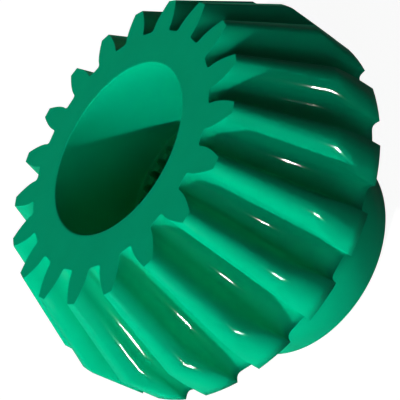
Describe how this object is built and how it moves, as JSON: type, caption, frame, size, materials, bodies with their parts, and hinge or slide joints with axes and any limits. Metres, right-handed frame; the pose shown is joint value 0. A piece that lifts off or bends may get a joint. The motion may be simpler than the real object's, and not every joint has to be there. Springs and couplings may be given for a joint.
{
  "type": "bevel pinion gear",
  "caption": "Straight bevel pinion gear with a turned crown, a long plain hub, a counterbored mouth and a splined through bore, in glossy green plastic.",
  "frame": {"origin": "centre of the hub's end face, on the axis of the gear", "axes": "+Z along the axis from the hub's end to the toe of the teeth, +X through the middle of one tooth"},
  "size_m": [0.0441, 0.044, 0.0287],
  "materials": {
    "green_gloss": "gloss"
  },
  "bodies": {
    "root": {"pinion_gear": "green_gloss"}
  },
  "joints": []
}
